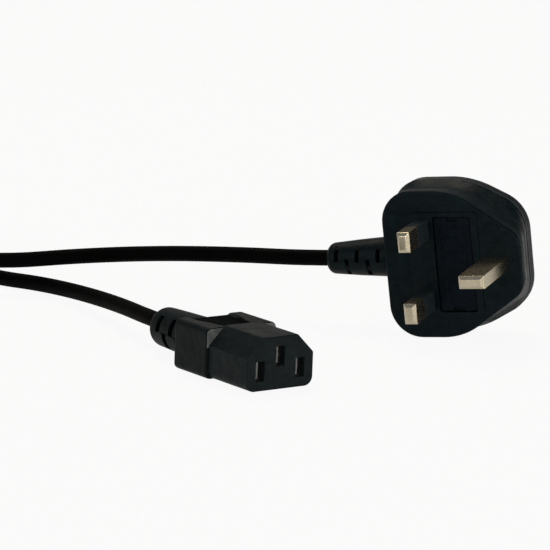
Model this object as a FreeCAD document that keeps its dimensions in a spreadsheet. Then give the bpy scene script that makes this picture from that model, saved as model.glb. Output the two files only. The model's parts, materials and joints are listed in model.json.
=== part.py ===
import FreeCAD, Part
import math
import os
import Sketcher
from types import SimpleNamespace
from FreeCAD import Placement, Rotation, Vector

# A three-pin mains lead: moulded plug, thin round flex and three-slot appliance connector. Millimetres.
# Plug frame: x from the live and neutral pins to the earth pin, y towards the live pin, z out of the face.
# Connector frame: x across the line and neutral slots, y towards the earth slot, z out of the face.

SIZES = {
    # pins and sleeves
    "pin_rise": 22.23,
    "pin_spread": 11.11,
    "blade_thick": 3.97,
    "blade_wide": 6.35,
    "blade_long": 17.7,
    "earth_wide": 7.97,
    "earth_thick": 3.97,
    "earth_long": 22.73,
    "pin_bevel": 1.0,
    "sleeve_long": 9.3,
    "sleeve_wall": 0.5,
    "sleeve_seat": 2.5,
    "tail_reach": 3.3,
    # outline of the plug's face, and how the waist and the flange differ from it
    "face_left": 13.2,
    "face_half": 23.2,
    "face_shoulder": 10.0,
    "face_right": 30.9,
    "head_half": 8.7,
    "face_corner": 10.0,
    "shoulder_round": 20.0,
    "head_round": 7.0,
    "face_rim": 2.4,
    "face_edge": 0.8,
    "waist_inset": 0.9,
    "waist_depth": 7.2,
    "flange_grow": 0.6,
    "flange_shoulder": 11.0,
    "flange_head": 14.5,
    "flange_trim": 2.2,
    "flange_round": 12.0,
    "flange_sweep": 28.0,
    "flange_depth": 13.2,
    "body_depth": 21.2,
    "back_round": 4.2,
    # strain-relief boots
    "boot_long": 22.8,
    "boot_root": 6.0,
    "boot_tip": 4.55,
    "boot_round": 1.6,
    "slit_wide": 1.3,
    "slit_step": 3.4,
    "slit_high": 4.6,
    "slit_offset": 1.7,
    "slit_skin": 0.2,
    "boot_sunk": 1.5,
    # rigid bridge and fuse well
    "bridge_left": 5.0,
    "bridge_right": 17.8,
    "bridge_border": 1.7,
    "bridge_corner": 1.4,
    "bridge_proud": 0.3,
    "bridge_plate": 3.0,
    "bridge_depth": 11.0,
    "bridge_step": 1.0,
    "tongue_half": 5.2,
    "tongue_wall": 1.0,
    "well_floor": 1.4,
    "fuse_line": 9.5,
    "carrier_wide": 11.6,
    "carrier_spare": 4.0,
    "carrier_thick": 2.0,
    "carrier_fit": 0.3,
    "carrier_corner": 0.9,
    "panel_wide": 7.8,
    "panel_margin": 6.4,
    "panel_high": 0.3,
    "mark_wide": 5.7,
    "mark_high": 5.4,
    "mark_line": 0.45,
    "notch_wide": 3.5,
    "notch_long": 1.3,
    "notch_deep": 1.2,
    "cradle_wall": 1.2,
    "cradle_room": 3.2,
    # cartridge fuse and its clips
    "fuse_radius": 3.15,
    "fuse_long": 25.4,
    "cap_long": 5.6,
    "cap_wall": 0.3,
    "fuse_drop": 0.35,
    "clip_sheet": 0.5,
    "clip_gap": 0.3,
    "clip_long": 4.6,
    "clip_rise": 1.0,
    "foot_side": 2.6,
    "strap_thick": 0.8,
    "strap_wide": 4.0,
    # ring moulded on the face
    "ring_x": 22.6,
    "ring_y": 9.7,
    "ring_radius": 3.4,
    "ring_line": 0.4,
    "ring_high": 0.25,
    # flex and cores
    "flex_radius": 2.4,
    "core_radius": 0.95,
    "barrel_wall": 0.6,
    "barrel_long": 3.0,
    "barrel_grip": 2.6,
    "flex_axis": 9.5,
    "sheath_end": 16.5,
    "flex_straight": 5.0,
    # appliance connector
    "nose_wide": 23.3,
    "nose_high": 15.6,
    "nose_cut": 5.6,
    "nose_round": 2.8,
    "nose_long": 19.8,
    "nose_tail": 4.0,
    "tail_inset": 1.6,
    "slot_wide": 3.0,
    "slot_high": 5.6,
    "slot_spread": 7.0,
    "slot_drop": 2.0,
    "contact_deep": 3.6,
    "contact_long": 12.0,
    "contact_wall": 0.4,
    "contact_web": 1.0,
    "grip_wide": 24.8,
    "grip_high": 15.4,
    "grip_long": 16.7,
    "grip_round": 3.0,
    "grip_crown": 4.8,
    "grip_drop": 0.2,
    "grip_edge": 0.7,
    "scoop_radius": 22.0,
    "scoop_deep": 1.5,
    "scoop_wide": 14.0,
    "neck_long": 1.2,
    "neck_inset": 1.1,
    "tail_boot": 24.0,
    "tail_root": 6.5,
    "tail_tip": 6.0,
    "tail_round": 3.0,
    "tail_drop": 0.8,
    "tail_slits": 4.7,
    "jacket_sunk": 1.3,
    # how the pieces lie on the floor
    "rest_roll": 5.0,
    "rest_pitch": 3.0,
    "connector_turn": 57.9,
    "connector_roll": 2.7,
    "connector_x": -14.6,
    "connector_y": -74.7,
    # wound length of flex
    "coil_middle": 26.5,
    "coil_wide": 14.4,
    "coil_high": 14.4,
    "coil_round": 4.0,
    "coil_x": -204.0,
    "coil_y": 36.2,
}

# Flex from the plug's boot to the coil: steps from the boot's end, placed by hand
PLUG_RUN = [
    (-31.1, 2.3, -1.7),
    (-60.1, 4.3, -3.9),
    (-89.1, 4.5, -7.1),
    (-116.5, 0.6, -10.6),
    (-143.5, -0.4, -10.9),
    (-170.5, 0.0, -10.8),
]
# Flex from the connector's boot to the coil: steps from the boot's end, placed by hand
CONNECTOR_RUN = [
    (-24.5, 21.9, -1.27),
    (-48.7, 42.6, -3.67),
    (-70.0, 56.0, -5.27),
    (-87.2, 60.4, -5.82),
    (-105.1, 79.0, -5.82),
    (-120.9, 99.1, -5.82),
]

doc = FreeCAD.newDocument("ThreePinLead")
sheet = doc.addObject("Spreadsheet::Sheet", "Sizes")
for row, (alias, size) in enumerate(SIZES.items(), start=1):
    sheet.set(f"A{row}", alias)
    sheet.set(f"B{row}", str(size))
    sheet.setAlias(f"B{row}", alias)
doc.recompute()


class Size:
    """A length that carries its value and the sheet formula it comes from."""

    def __init__(self, value, text):
        self.value = float(value)
        self.text = text

    def join(self, sign, other, value):
        return Size(value, f"({self.text} {sign} {formula(other)})")

    def __add__(self, other):
        return self.join("+", other, self.value + number(other))

    def __sub__(self, other):
        return self.join("-", other, self.value - number(other))

    def __mul__(self, other):
        return self.join("*", other, self.value * number(other))

    def __truediv__(self, other):
        return self.join("/", other, self.value / number(other))

    def __neg__(self):
        return Size(-self.value, f"(0 - {self.text})")


def number(size):
    return size.value if isinstance(size, Size) else float(size)


def formula(size):
    return size.text if isinstance(size, Size) else repr(float(size))


s = SimpleNamespace(**{alias: Size(size, f"Sizes.{alias}") for alias, size in SIZES.items()})
NOTHING = Size(0, "0")
SLIT_COUNT = 5


# Sketch and feature helpers
def origin_plane(body, role):
    return next(item for item in body.Origin.OriginFeatures if item.Role == role)


def new_body(name):
    body = doc.addObject("PartDesign::Body", name)
    body.Label = name
    return body


def new_sketch(body, name, role="XY_Plane", height=0.0):
    sketch = body.newObject("Sketcher::SketchObject", name)
    sketch.AttachmentSupport = [(origin_plane(body, role), "")]
    sketch.MapMode = "FlatFace"
    sketch.AttachmentOffset = Placement(Vector(0, 0, number(height)), Rotation())
    if isinstance(height, Size):
        sketch.setExpression("AttachmentOffset.Base.z", formula(height))
    return sketch


def drive(sketch, constraint, size):
    index = sketch.addConstraint(constraint)
    if isinstance(size, Size):
        sketch.setExpression(f"Constraints[{index}]", formula(size))


def pin_point(sketch, item, vertex, x, y):
    drive(sketch, Sketcher.Constraint("DistanceX", -1, 1, item, vertex, number(x)), x)
    drive(sketch, Sketcher.Constraint("DistanceY", -1, 1, item, vertex, number(y)), y)


def corner_arc(before, here, after, radius):
    """The tangent points and the arc that round one corner of an outline."""
    inward, outward = (before - here).normalize(), (after - here).normalize()
    half = inward.getAngle(outward) / 2
    start, end = here + inward * (radius / math.tan(half)), here + outward * (radius / math.tan(half))
    centre = here + (inward + outward).normalize() * (radius / math.sin(half))
    convex = inward.cross(outward).z < 0
    first, last = (start, end) if convex else (end, start)
    angles = [math.atan2(point.y - centre.y, point.x - centre.x) for point in (first, last)]
    arc = Part.ArcOfCircle(Part.Circle(centre, Vector(0, 0, 1), radius), *angles)
    return start, end, arc, convex


def outline(sketch, corners):
    """A closed outline, anticlockwise, of (x, y, rounding) corners tied to the sheet."""
    count = len(corners)
    points = [Vector(number(x), number(y), 0) for x, y, rounding in corners]
    starts, ends, arcs = list(points), list(points), {}
    for i, (x, y, rounding) in enumerate(corners):
        if number(rounding):
            start, end, arc, convex = corner_arc(points[i - 1], points[i], points[(i + 1) % count],
                                                 number(rounding))
            starts[i], ends[i], arcs[i] = start, end, (arc, convex)
    lines = [sketch.addGeometry(Part.LineSegment(ends[i], starts[(i + 1) % count]), False)
             for i in range(count)]
    for i, (x, y, rounding) in enumerate(corners):
        before, after = lines[i - 1], lines[i]
        if i not in arcs:
            sketch.addConstraint(Sketcher.Constraint("Coincident", before, 2, after, 1))
            pin_point(sketch, after, 1, x, y)
            continue
        arc, convex = arcs[i]
        curve = sketch.addGeometry(arc, False)
        corner = sketch.addGeometry(Part.Point(points[i]), True)
        first, last = (1, 2) if convex else (2, 1)
        sketch.addConstraint(Sketcher.Constraint("Tangent", before, 2, curve, first))
        sketch.addConstraint(Sketcher.Constraint("Tangent", after, 1, curve, last))
        drive(sketch, Sketcher.Constraint("Radius", curve, number(rounding)), rounding)
        pin_point(sketch, corner, 1, x, y)
        sketch.addConstraint(Sketcher.Constraint("PointOnObject", corner, 1, before))
        sketch.addConstraint(Sketcher.Constraint("PointOnObject", corner, 1, after))


def rectangle(sketch, left, right, low, high, rounding=0.0):
    outline(sketch, [(left, low, rounding), (right, low, rounding), (right, high, rounding),
                     (left, high, rounding)])


def block(sketch, x, y, wide, high, rounding=0.0):
    half_wide, half_high = wide / 2, high / 2
    rectangle(sketch, x - half_wide, x + half_wide, y - half_high, y + half_high, rounding)


def circle(sketch, x, y, radius):
    item = sketch.addGeometry(Part.Circle(Vector(number(x), number(y), 0), Vector(0, 0, 1), number(radius)), False)
    pin_point(sketch, item, 3, x, y)
    drive(sketch, Sketcher.Constraint("Radius", item, number(radius)), radius)


def settle(body, before, adds):
    doc.recompute()
    change = body.Shape.Volume - before
    if change == 0 or (change > 0) != adds:
        raise RuntimeError(f"{body.Label}: {body.Tip.Label} changed nothing")


def extrude(kind, body, name, sketch, length, reverse, adds):
    before = body.Shape.Volume if body.Tip else 0.0
    feature = body.newObject(kind, name)
    feature.Profile = sketch
    feature.Length = number(length)
    if isinstance(length, Size):
        feature.setExpression("Length", formula(length))
    feature.Reversed = reverse
    settle(body, before, adds)
    return feature


def pad(body, name, sketch, length, reverse=False):
    return extrude("PartDesign::Pad", body, name, sketch, length, reverse, True)


def pocket(body, name, sketch, length, reverse=False):
    return extrude("PartDesign::Pocket", body, name, sketch, length, reverse, False)


def loft(body, name, sections):
    before = body.Shape.Volume if body.Tip else 0.0
    feature = body.newObject("PartDesign::AdditiveLoft", name)
    feature.Profile = sections[0]
    feature.Sections = sections[1:]
    feature.Ruled = len(sections) == 2
    settle(body, before, True)
    return feature


def soften(kind, body, name, size, chosen):
    """Fillets or chamfers on the edges of the body that pass the test."""
    tip = body.Tip
    names = [f"Edge{i}" for i, edge in enumerate(tip.Shape.Edges, start=1) if chosen(edge)]
    feature = body.newObject(kind, name)
    feature.Base = (tip, names)
    key = "Radius" if kind.endswith("Fillet") else "Size"
    setattr(feature, key, number(size))
    feature.setExpression(key, formula(size))
    doc.recompute()
    return feature


def on_plane(axis, place):
    """A test for edges that lie in the plane where the axis has that value."""
    spot = number(place)

    def test(edge):
        box = edge.BoundBox
        low, high = getattr(box, axis + "Min"), getattr(box, axis + "Max")
        return abs(low - spot) < 1e-4 and abs(high - spot) < 1e-4

    return test


def rounded_path(points, first_reach):
    """Straight runs joined by tangent arcs as large as the runs allow, and the arcs' radii."""
    edges, radii, here = [], [], points[0]
    for before, corner, after in zip(points, points[1:], points[2:]):
        inward, outward = (before - corner), (after - corner)
        reach = 0.45 * min(inward.Length, outward.Length)
        if not radii:
            reach = min(reach, first_reach)
        turn = math.pi - inward.getAngle(outward)
        radii.append(reach / math.tan(turn / 2))
        start, end = corner + inward.normalize() * reach, corner + outward.normalize() * reach
        bow = (inward + outward).normalize()
        centre = corner + bow * (radii[-1] / math.cos(turn / 2))
        middle = centre - bow * radii[-1]
        edges += [Part.LineSegment(here, start).toShape(), Part.Arc(start, middle, end).toShape()]
        here = end
    edges.append(Part.LineSegment(here, points[-1]).toShape())
    return Part.Wire(edges), radii


def tube(name, points, radius, first_reach=1000.0):
    """A round solid along a path, checked against its section times its length."""
    points = [Vector(*point) for point in points]
    path, radii = rounded_path(points, first_reach)
    direction = (points[1] - points[0]).normalize()
    section = Part.Wire([Part.Circle(points[0], direction, number(radius)).toShape()])
    shape = path.makePipeShell([section], True, False)
    expected = math.pi * number(radius) ** 2 * path.Length
    print(f"{name}: length {path.Length:.1f}, volume / section x length {shape.Volume / expected:.4f},"
          f" radii {[round(radius, 1) for radius in radii]}")
    feature = doc.addObject("Part::Feature", name)
    feature.Label = name
    feature.Shape = shape
    return feature


def cut_from(name, moulding, inner):
    """The moulding with the room that the pieces moulded into it take up."""
    fused = doc.addObject("Part::MultiFuse", name + "_inner")
    fused.Shapes = inner
    result = doc.addObject("Part::Cut", name)
    result.Label = name
    result.Base = moulding
    result.Tool = fused
    doc.recompute()
    return result


# Heights and places that several plug pieces share
neck_thick = s.blade_thick - s.sleeve_wall * 2
neck_wide = s.blade_wide - s.sleeve_wall * 2
tail_height = -(s.bridge_depth + s.tail_reach)
barrel_radius = s.core_radius + s.barrel_wall
barrel_height = -(s.bridge_depth + s.strap_thick + barrel_radius - 0.5)
well_height = -(s.bridge_depth - s.well_floor)
fuse_height = -(s.carrier_thick + s.fuse_drop + s.fuse_radius)
clip_place = (s.fuse_long - s.cap_long) / 2
carrier_long = s.fuse_long + s.carrier_spare
bridge_half = carrier_long / 2 + s.bridge_border
panel_long = carrier_long - s.panel_margin
cradle_long = clip_place * 2 - s.clip_long - s.cradle_room


def face_outline(sketch, grow, shoulder, head, right, head_round, sweep=s.shoulder_round):
    """The plug's outline, symmetric about y = 0, grown or shrunk all round."""
    left, half = -(s.face_left + grow), s.face_half + grow
    outline(sketch, [
        (left, -half, s.face_corner), (shoulder, -half, sweep),
        (right, -head, head_round), (right, head, head_round),
        (shoulder, half, sweep), (left, half, s.face_corner),
    ])


def make_plug_moulding():
    body = new_body("plug_moulding")
    face = new_sketch(body, "face_sketch")
    face_outline(face, NOTHING, s.face_shoulder, s.head_half, s.face_right, s.head_round)
    pad(body, "face_plate", face, s.face_rim, reverse=True)
    waist_shoulder = s.face_shoulder + (s.flange_shoulder - s.face_shoulder) / 3
    waist_head = s.head_half + (s.flange_head - s.head_half) / 3
    sections = []
    flange = (s.flange_grow, s.flange_shoulder, s.flange_head, s.face_right - s.flange_trim, s.flange_round,
              s.flange_sweep)
    for name, depth, *shape in (
        ("rim", s.face_rim, NOTHING, s.face_shoulder, s.head_half, s.face_right, s.head_round),
        ("waist", s.waist_depth, -s.waist_inset, waist_shoulder, waist_head, s.face_right - s.waist_inset,
         s.head_round),
        ("flange", s.flange_depth, *flange),
    ):
        sketch = new_sketch(body, name + "_sketch", height=-depth)
        face_outline(sketch, *shape)
        sections.append(sketch)
    loft(body, "finger_grip", sections)
    back = new_sketch(body, "back_sketch", height=-s.flange_depth)
    face_outline(back, *flange)
    pad(body, "back_shell", back, s.body_depth - s.flange_depth, reverse=True)
    soften("PartDesign::Fillet", body, "back_rounding", s.back_round, on_plane("Z", -s.body_depth))
    soften("PartDesign::Fillet", body, "face_rounding", s.face_edge, on_plane("Z", 0.0))
    start = -(s.face_left - s.boot_sunk)
    add_boot(body, "YZ_Plane", start, s.boot_long + s.boot_sunk, s.boot_root, s.boot_tip, s.boot_round,
             (NOTHING, -s.flex_axis))
    add_slits(body, "XY_Plane", -(s.face_left + s.boot_long), -s.flex_axis)
    room = new_sketch(body, "bridge_plate_room_sketch")
    rectangle(room, -s.bridge_left, s.bridge_right, -bridge_half, bridge_half, s.bridge_corner)
    pocket(body, "bridge_plate_room", room, s.bridge_plate)
    room = new_sketch(body, "bridge_block_room_sketch", height=-s.bridge_plate)
    bridge_block(room)
    pocket(body, "bridge_block_room", room, s.bridge_depth - s.bridge_plate)
    ring = new_sketch(body, "ring_sketch")
    circle(ring, s.ring_x, s.ring_y, s.ring_radius)
    circle(ring, s.ring_x, s.ring_y, s.ring_radius - s.ring_line)
    pad(body, "face_ring", ring, s.ring_high)
    return body


def add_boot(body, role, start, length, root_radius, tip_radius, rounding, place):
    """A tapered strain-relief boot along the sketch plane's normal, away from the moulding."""
    root = new_sketch(body, "boot_root_sketch", role, start)
    circle(root, *place, root_radius)
    tip = new_sketch(body, "boot_tip_sketch", role, start - length)
    circle(tip, *place, tip_radius)
    loft(body, "boot", [root, tip])
    axis = "X" if role == "YZ_Plane" else "Z"
    soften("PartDesign::Fillet", body, "boot_rounding", rounding, on_plane(axis, start - length))


def add_slits(body, role, tip, level):
    """Staggered slits on both sides of a boot, down to the flex, from the boot's tip."""
    for i in range(SLIT_COUNT):
        along = tip + s.slit_step * (i + 0.7)
        offset = s.slit_offset if i % 2 == 0 else -s.slit_offset
        for side in (1, -1):
            name = f"slit_{i}_{'front' if side > 0 else 'back'}"
            cut = new_sketch(body, name + "_sketch", role, level + (s.flex_radius + s.slit_skin) * side)
            if role == "XY_Plane":
                block(cut, along, offset, s.slit_wide, s.slit_high)
            else:
                block(cut, offset, along, s.slit_high, s.slit_wide)
            pocket(body, name, cut, s.boot_root, reverse=side > 0)


def bridge_block(sketch):
    """The deep part of the bridge: a block with a tongue that carries the earth pin."""
    left, right = -(s.bridge_left - s.bridge_step), s.bridge_right - s.bridge_step
    half = bridge_half - s.bridge_step * 1.8
    tip = s.pin_rise + s.earth_wide / 2 + s.tongue_wall
    outline(sketch, [
        (left, -half, 0), (right, -half, 0), (right, -s.tongue_half, 0), (tip, -s.tongue_half, 0),
        (tip, s.tongue_half, 0), (right, s.tongue_half, 0), (right, half, 0), (left, half, 0),
    ])


def make_bridge_moulding():
    body = new_body("bridge_moulding")
    plate = new_sketch(body, "plate_sketch", height=s.bridge_proud)
    rectangle(plate, -s.bridge_left, s.bridge_right, -bridge_half, bridge_half, s.bridge_corner)
    pad(body, "plate", plate, s.bridge_plate + s.bridge_proud, reverse=True)
    deep = new_sketch(body, "block_sketch", height=-s.bridge_plate)
    bridge_block(deep)
    pad(body, "block", deep, s.bridge_depth - s.bridge_plate, reverse=True)
    seat = new_sketch(body, "carrier_seat_sketch", height=s.bridge_proud)
    block(seat, s.fuse_line, NOTHING, s.carrier_wide + s.carrier_fit * 2, carrier_long + s.carrier_fit * 2,
          s.carrier_corner)
    pocket(body, "carrier_seat", seat, s.carrier_thick + s.bridge_proud)
    well = new_sketch(body, "fuse_well_sketch", height=-s.carrier_thick)
    block(well, s.fuse_line, NOTHING, s.carrier_wide - s.carrier_fit * 4, s.fuse_long + s.carrier_fit * 4)
    pocket(body, "fuse_well", well, s.bridge_depth - s.well_floor - s.carrier_thick)
    return body


def make_blade(name, y):
    """A live or neutral pin: full section outside, thinner under its sleeve and through the bridge."""
    body = new_body(name)
    metal = new_sketch(body, name + "_blade_sketch", height=s.sleeve_long)
    block(metal, NOTHING, y, s.blade_thick, s.blade_wide)
    pad(body, name + "_blade", metal, s.blade_long - s.sleeve_long)
    soften("PartDesign::Chamfer", body, name + "_bevel", s.pin_bevel, on_plane("Z", s.blade_long))
    neck = new_sketch(body, name + "_neck_sketch", height=tail_height)
    block(neck, NOTHING, y, neck_thick, neck_wide)
    pad(body, name + "_neck", neck, s.sleeve_long - tail_height)
    return body


def add_barrel(body, name, start, y):
    """A crimp barrel that opens towards the flex, behind the bridge."""
    ring = new_sketch(body, name + "_barrel_sketch", "YZ_Plane", start)
    circle(ring, y, barrel_height, barrel_radius)
    circle(ring, y, barrel_height, s.core_radius)
    pad(body, name + "_barrel", ring, s.barrel_long, reverse=True)


def make_live_pin():
    body = make_blade("live_pin", s.pin_spread)
    strap = new_sketch(body, "live_strap_sketch", height=-s.bridge_depth)
    rectangle(strap, NOTHING, s.fuse_line + s.foot_side / 2, clip_place - s.strap_wide / 2,
              clip_place + s.strap_wide / 2)
    pad(body, "live_strap", strap, s.strap_thick, reverse=True)
    return body


def make_neutral_pin():
    body = make_blade("neutral_pin", -s.pin_spread)
    add_barrel(body, "neutral_pin", -(neck_thick / 2) + 0.3, -s.pin_spread)
    return body


def make_earth_pin():
    body = new_body("earth_pin")
    bar = new_sketch(body, "earth_bar_sketch", height=tail_height)
    block(bar, s.pin_rise, NOTHING, s.earth_wide, s.earth_thick)
    pad(body, "earth_bar", bar, s.earth_long - tail_height)
    soften("PartDesign::Chamfer", body, "earth_bevel", s.pin_bevel, on_plane("Z", s.earth_long))
    add_barrel(body, "earth_pin", s.pin_rise - s.earth_wide / 2 + 0.3, NOTHING)
    return body


def make_sleeve(name, y):
    body = new_body(name)
    ring = new_sketch(body, name + "_sketch", height=-s.sleeve_seat)
    block(ring, NOTHING, y, s.blade_thick, s.blade_wide)
    block(ring, NOTHING, y, neck_thick, neck_wide)
    pad(body, name + "_wall", ring, s.sleeve_seat + s.sleeve_long)
    return body


def make_clip(name, y, with_barrel):
    """A spring clip, a U open towards the carrier, with a foot through the bridge's floor."""
    body = new_body(name)
    bend = new_sketch(body, name + "_sketch", "XZ_Plane", -y - s.clip_long / 2)
    inner = s.fuse_radius + s.clip_gap
    outer = inner + s.clip_sheet
    low, top = well_height, fuse_height + s.clip_rise
    x = s.fuse_line
    outline(bend, [
        (x - outer, low, 0), (x + outer, low, 0), (x + outer, top, 0), (x + inner, top, 0),
        (x + inner, low + s.clip_sheet, 0), (x - inner, low + s.clip_sheet, 0), (x - inner, top, 0),
        (x - outer, top, 0),
    ])
    pad(body, name + "_jaws", bend, s.clip_long)
    foot = new_sketch(body, name + "_foot_sketch", height=well_height)
    block(foot, s.fuse_line, y, s.foot_side, s.foot_side)
    reach = s.well_floor
    if with_barrel:
        reach = well_height - barrel_height + barrel_radius
    pad(body, name + "_foot", foot, reach, reverse=True)
    if with_barrel:
        add_barrel(body, name, s.fuse_line - s.foot_side / 2 + 0.3, y)
    return body


def make_carrier():
    body = new_body("fuse_carrier")
    plate = new_sketch(body, "carrier_plate_sketch", height=-s.panel_high)
    block(plate, s.fuse_line, NOTHING, s.carrier_wide, carrier_long, s.carrier_corner)
    pad(body, "carrier_plate", plate, s.carrier_thick - s.panel_high, reverse=True)
    cradle = new_sketch(body, "cradle_sketch", height=-s.carrier_thick)
    for side in (1, -1):
        middle = s.fuse_line + (s.fuse_radius + s.clip_gap / 2 + s.cradle_wall / 2) * side
        block(cradle, middle, NOTHING, s.cradle_wall, cradle_long)
    pad(body, "cradle_walls", cradle, s.fuse_radius + s.fuse_drop + 1.0, reverse=True)
    panel = new_sketch(body, "panel_sketch", height=-s.panel_high)
    block(panel, s.fuse_line, NOTHING, s.panel_wide, panel_long, s.carrier_corner)
    pad(body, "panel", panel, s.panel_high)
    mark = new_sketch(body, "mark_sketch")
    centre = panel_long / 2 - s.mark_high
    block(mark, s.fuse_line, centre, s.mark_wide, s.mark_high)
    block(mark, s.fuse_line, centre, s.mark_wide - s.mark_line * 2, s.mark_high - s.mark_line * 2)
    pad(body, "mark_frame", mark, s.panel_high)
    for end in (1, -1):
        notch = new_sketch(body, f"notch_{'upper' if end > 0 else 'lower'}_sketch")
        block(notch, s.fuse_line, (carrier_long / 2 - s.notch_long / 2) * end, s.notch_wide,
              s.notch_long)
        pocket(body, f"notch_{'upper' if end > 0 else 'lower'}", notch, s.notch_deep)
    return body


def make_fuse():
    tube_body = new_body("fuse_tube")
    core = new_sketch(tube_body, "fuse_tube_sketch", "XZ_Plane", -(s.fuse_long / 2 - s.cap_wall))
    circle(core, s.fuse_line, fuse_height, s.fuse_radius - s.cap_wall)
    pad(tube_body, "fuse_tube_bar", core, s.fuse_long - s.cap_wall * 2)
    wrap = new_sketch(tube_body, "fuse_wrap_sketch", "XZ_Plane", -(s.fuse_long / 2 - s.cap_long))
    circle(wrap, s.fuse_line, fuse_height, s.fuse_radius - 0.1)
    pad(tube_body, "fuse_wrap", wrap, s.fuse_long - s.cap_long * 2)
    caps = []
    for name, side in (("fuse_cap_pin_side", 1), ("fuse_cap_line_side", -1)):
        body = new_body(name)
        disc = new_sketch(body, name + "_sketch", "XZ_Plane", -(s.fuse_long / 2) * side)
        circle(disc, s.fuse_line, fuse_height, s.fuse_radius)
        pad(body, name + "_cup", disc, s.cap_long, reverse=side < 0)
        hollow = new_sketch(body, name + "_hollow_sketch", "XZ_Plane", -(s.fuse_long / 2 - s.cap_wall) * side)
        circle(hollow, s.fuse_line, fuse_height, s.fuse_radius - s.cap_wall)
        pocket(body, name + "_hollow", hollow, s.cap_long, reverse=side > 0)
        caps.append(body)
    return [tube_body] + caps


def plug_cores():
    """Line, neutral and earth cores from the cut sheath to their crimp barrels."""
    start, sheath, deep = -SIZES["sheath_end"], -SIZES["flex_axis"], number(barrel_height)
    spread = SIZES["pin_spread"]
    line_y = -number(clip_place)
    line_end = SIZES["fuse_line"] - SIZES["foot_side"] / 2
    neutral_end = -number(neck_thick) / 2
    earth_end = SIZES["pin_rise"] - SIZES["earth_wide"] / 2
    return [
        tube("plug_line_core", [
            (start, 0, sheath - 1.15), (start + 4, 0, sheath - 1.15), (-7, -2, deep), (-0.5, -4.4, deep),
            (2.4, -7.4, deep), (line_end - 4.6, line_y, deep), (line_end, line_y, deep)], s.core_radius),
        tube("plug_neutral_core", [
            (start, -1.0, sheath + 0.6), (start + 3, -1.0, sheath + 0.6), (-10.5, -5.5, sheath - 2.0),
            (neutral_end - 5, -spread, deep), (neutral_end, -spread, deep)], s.core_radius),
        tube("plug_earth_core", [
            (start, 1.0, sheath + 0.6), (start + 4, 1.0, sheath + 0.6), (-7, 2.6, deep), (4, 2.6, deep),
            (earth_end - 6, 0, deep), (earth_end, 0, deep)], s.core_radius),
    ]


# Appliance connector
slot_places = {
    "line": (-s.slot_spread, -s.slot_drop),
    "neutral": (s.slot_spread, -s.slot_drop),
    "earth": (NOTHING, s.slot_drop),
}
nose_back = s.nose_long + s.nose_tail
grip_back = s.nose_long + s.grip_long
boot_start = grip_back + s.neck_long
connector_tip = boot_start + s.tail_boot
connector_sheath = boot_start + s.jacket_sunk


def nose_outline(sketch, inset):
    """The connector's six-sided nose, with its upper corners cut."""
    wide, high = s.nose_wide / 2 - inset, s.nose_high / 2 - inset
    outline(sketch, [
        (-wide, -high, s.nose_round), (wide, -high, s.nose_round), (wide, high - s.nose_cut, 0),
        (wide - s.nose_cut, high, 0), (-(wide - s.nose_cut), high, 0), (-wide, high - s.nose_cut, 0),
    ])


def make_connector_insert():
    body = new_body("connector_insert")
    nose = new_sketch(body, "nose_sketch")
    nose_outline(nose, NOTHING)
    pad(body, "nose", nose, s.nose_long, reverse=True)
    tail = new_sketch(body, "insert_tail_sketch", height=-s.nose_long)
    nose_outline(tail, s.tail_inset)
    pad(body, "insert_tail", tail, s.nose_tail, reverse=True)
    slots = new_sketch(body, "slots_sketch")
    for x, y in slot_places.values():
        block(slots, x, y, s.slot_wide, s.slot_high)
    pocket(body, "slots", slots, nose_back)
    return body


def make_contact(name, x, y):
    """A folded socket contact, open towards the face, with its crimp barrel behind."""
    body = new_body(name)
    box = new_sketch(body, name + "_box_sketch", height=-s.contact_deep)
    block(box, x, y, s.slot_wide, s.slot_high)
    block(box, x, y, s.slot_wide - s.contact_wall * 2, s.slot_high - s.contact_wall * 2)
    pad(body, name + "_box", box, s.contact_long, reverse=True)
    web = new_sketch(body, name + "_web_sketch", height=-(s.contact_deep + s.contact_long))
    block(web, x, y, s.slot_wide, s.slot_high)
    pad(body, name + "_web", web, s.contact_web, reverse=True)
    barrel = new_sketch(body, name + "_barrel_sketch",
                        height=-(s.contact_deep + s.contact_long + s.contact_web))
    circle(barrel, x, y, s.slot_wide / 2)
    circle(barrel, x, y, s.core_radius)
    reach = nose_back + s.contact_web - s.contact_deep - s.contact_long - s.contact_web
    pad(body, name + "_barrel", barrel, reach, reverse=True)
    return body


def grip_outline(sketch, inset):
    """The connector's grip, more rounded along its top."""
    wide, high = s.grip_wide / 2 - inset, s.grip_high / 2 - inset
    low, top = -(high + s.grip_drop), high - s.grip_drop
    outline(sketch, [(-wide, low, s.grip_round), (wide, low, s.grip_round), (wide, top, s.grip_crown),
                     (-wide, top, s.grip_crown)])


def make_connector_moulding():
    body = new_body("connector_moulding")
    front = new_sketch(body, "grip_sketch", height=-s.nose_long)
    grip_outline(front, NOTHING)
    pad(body, "grip", front, s.grip_long, reverse=True)
    soften("PartDesign::Fillet", body, "grip_front_rounding", s.grip_edge, on_plane("Z", -s.nose_long))
    end = new_sketch(body, "grip_end_sketch", height=-grip_back)
    grip_outline(end, NOTHING)
    neck = new_sketch(body, "neck_sketch", height=-boot_start)
    grip_outline(neck, s.neck_inset)
    loft(body, "neck", [end, neck])
    add_boot(body, "XY_Plane", -boot_start, s.tail_boot, s.tail_root, s.tail_tip, s.tail_round,
             (NOTHING, -s.tail_drop))
    add_slits(body, "YZ_Plane", s.tail_slits - connector_tip, NOTHING)
    scoop = new_sketch(body, "scoop_sketch", "YZ_Plane", -(s.scoop_wide / 2))
    circle(scoop, s.grip_high / 2 - s.grip_drop - s.scoop_deep + s.scoop_radius, -(s.nose_long + s.grip_long * 0.8),
           s.scoop_radius)
    pocket(body, "thumb_scoop", scoop, s.scoop_wide, reverse=True)
    room = new_sketch(body, "insert_room_sketch", height=-s.nose_long)
    nose_outline(room, s.tail_inset)
    pocket(body, "insert_room", room, s.nose_tail)
    return body


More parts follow.
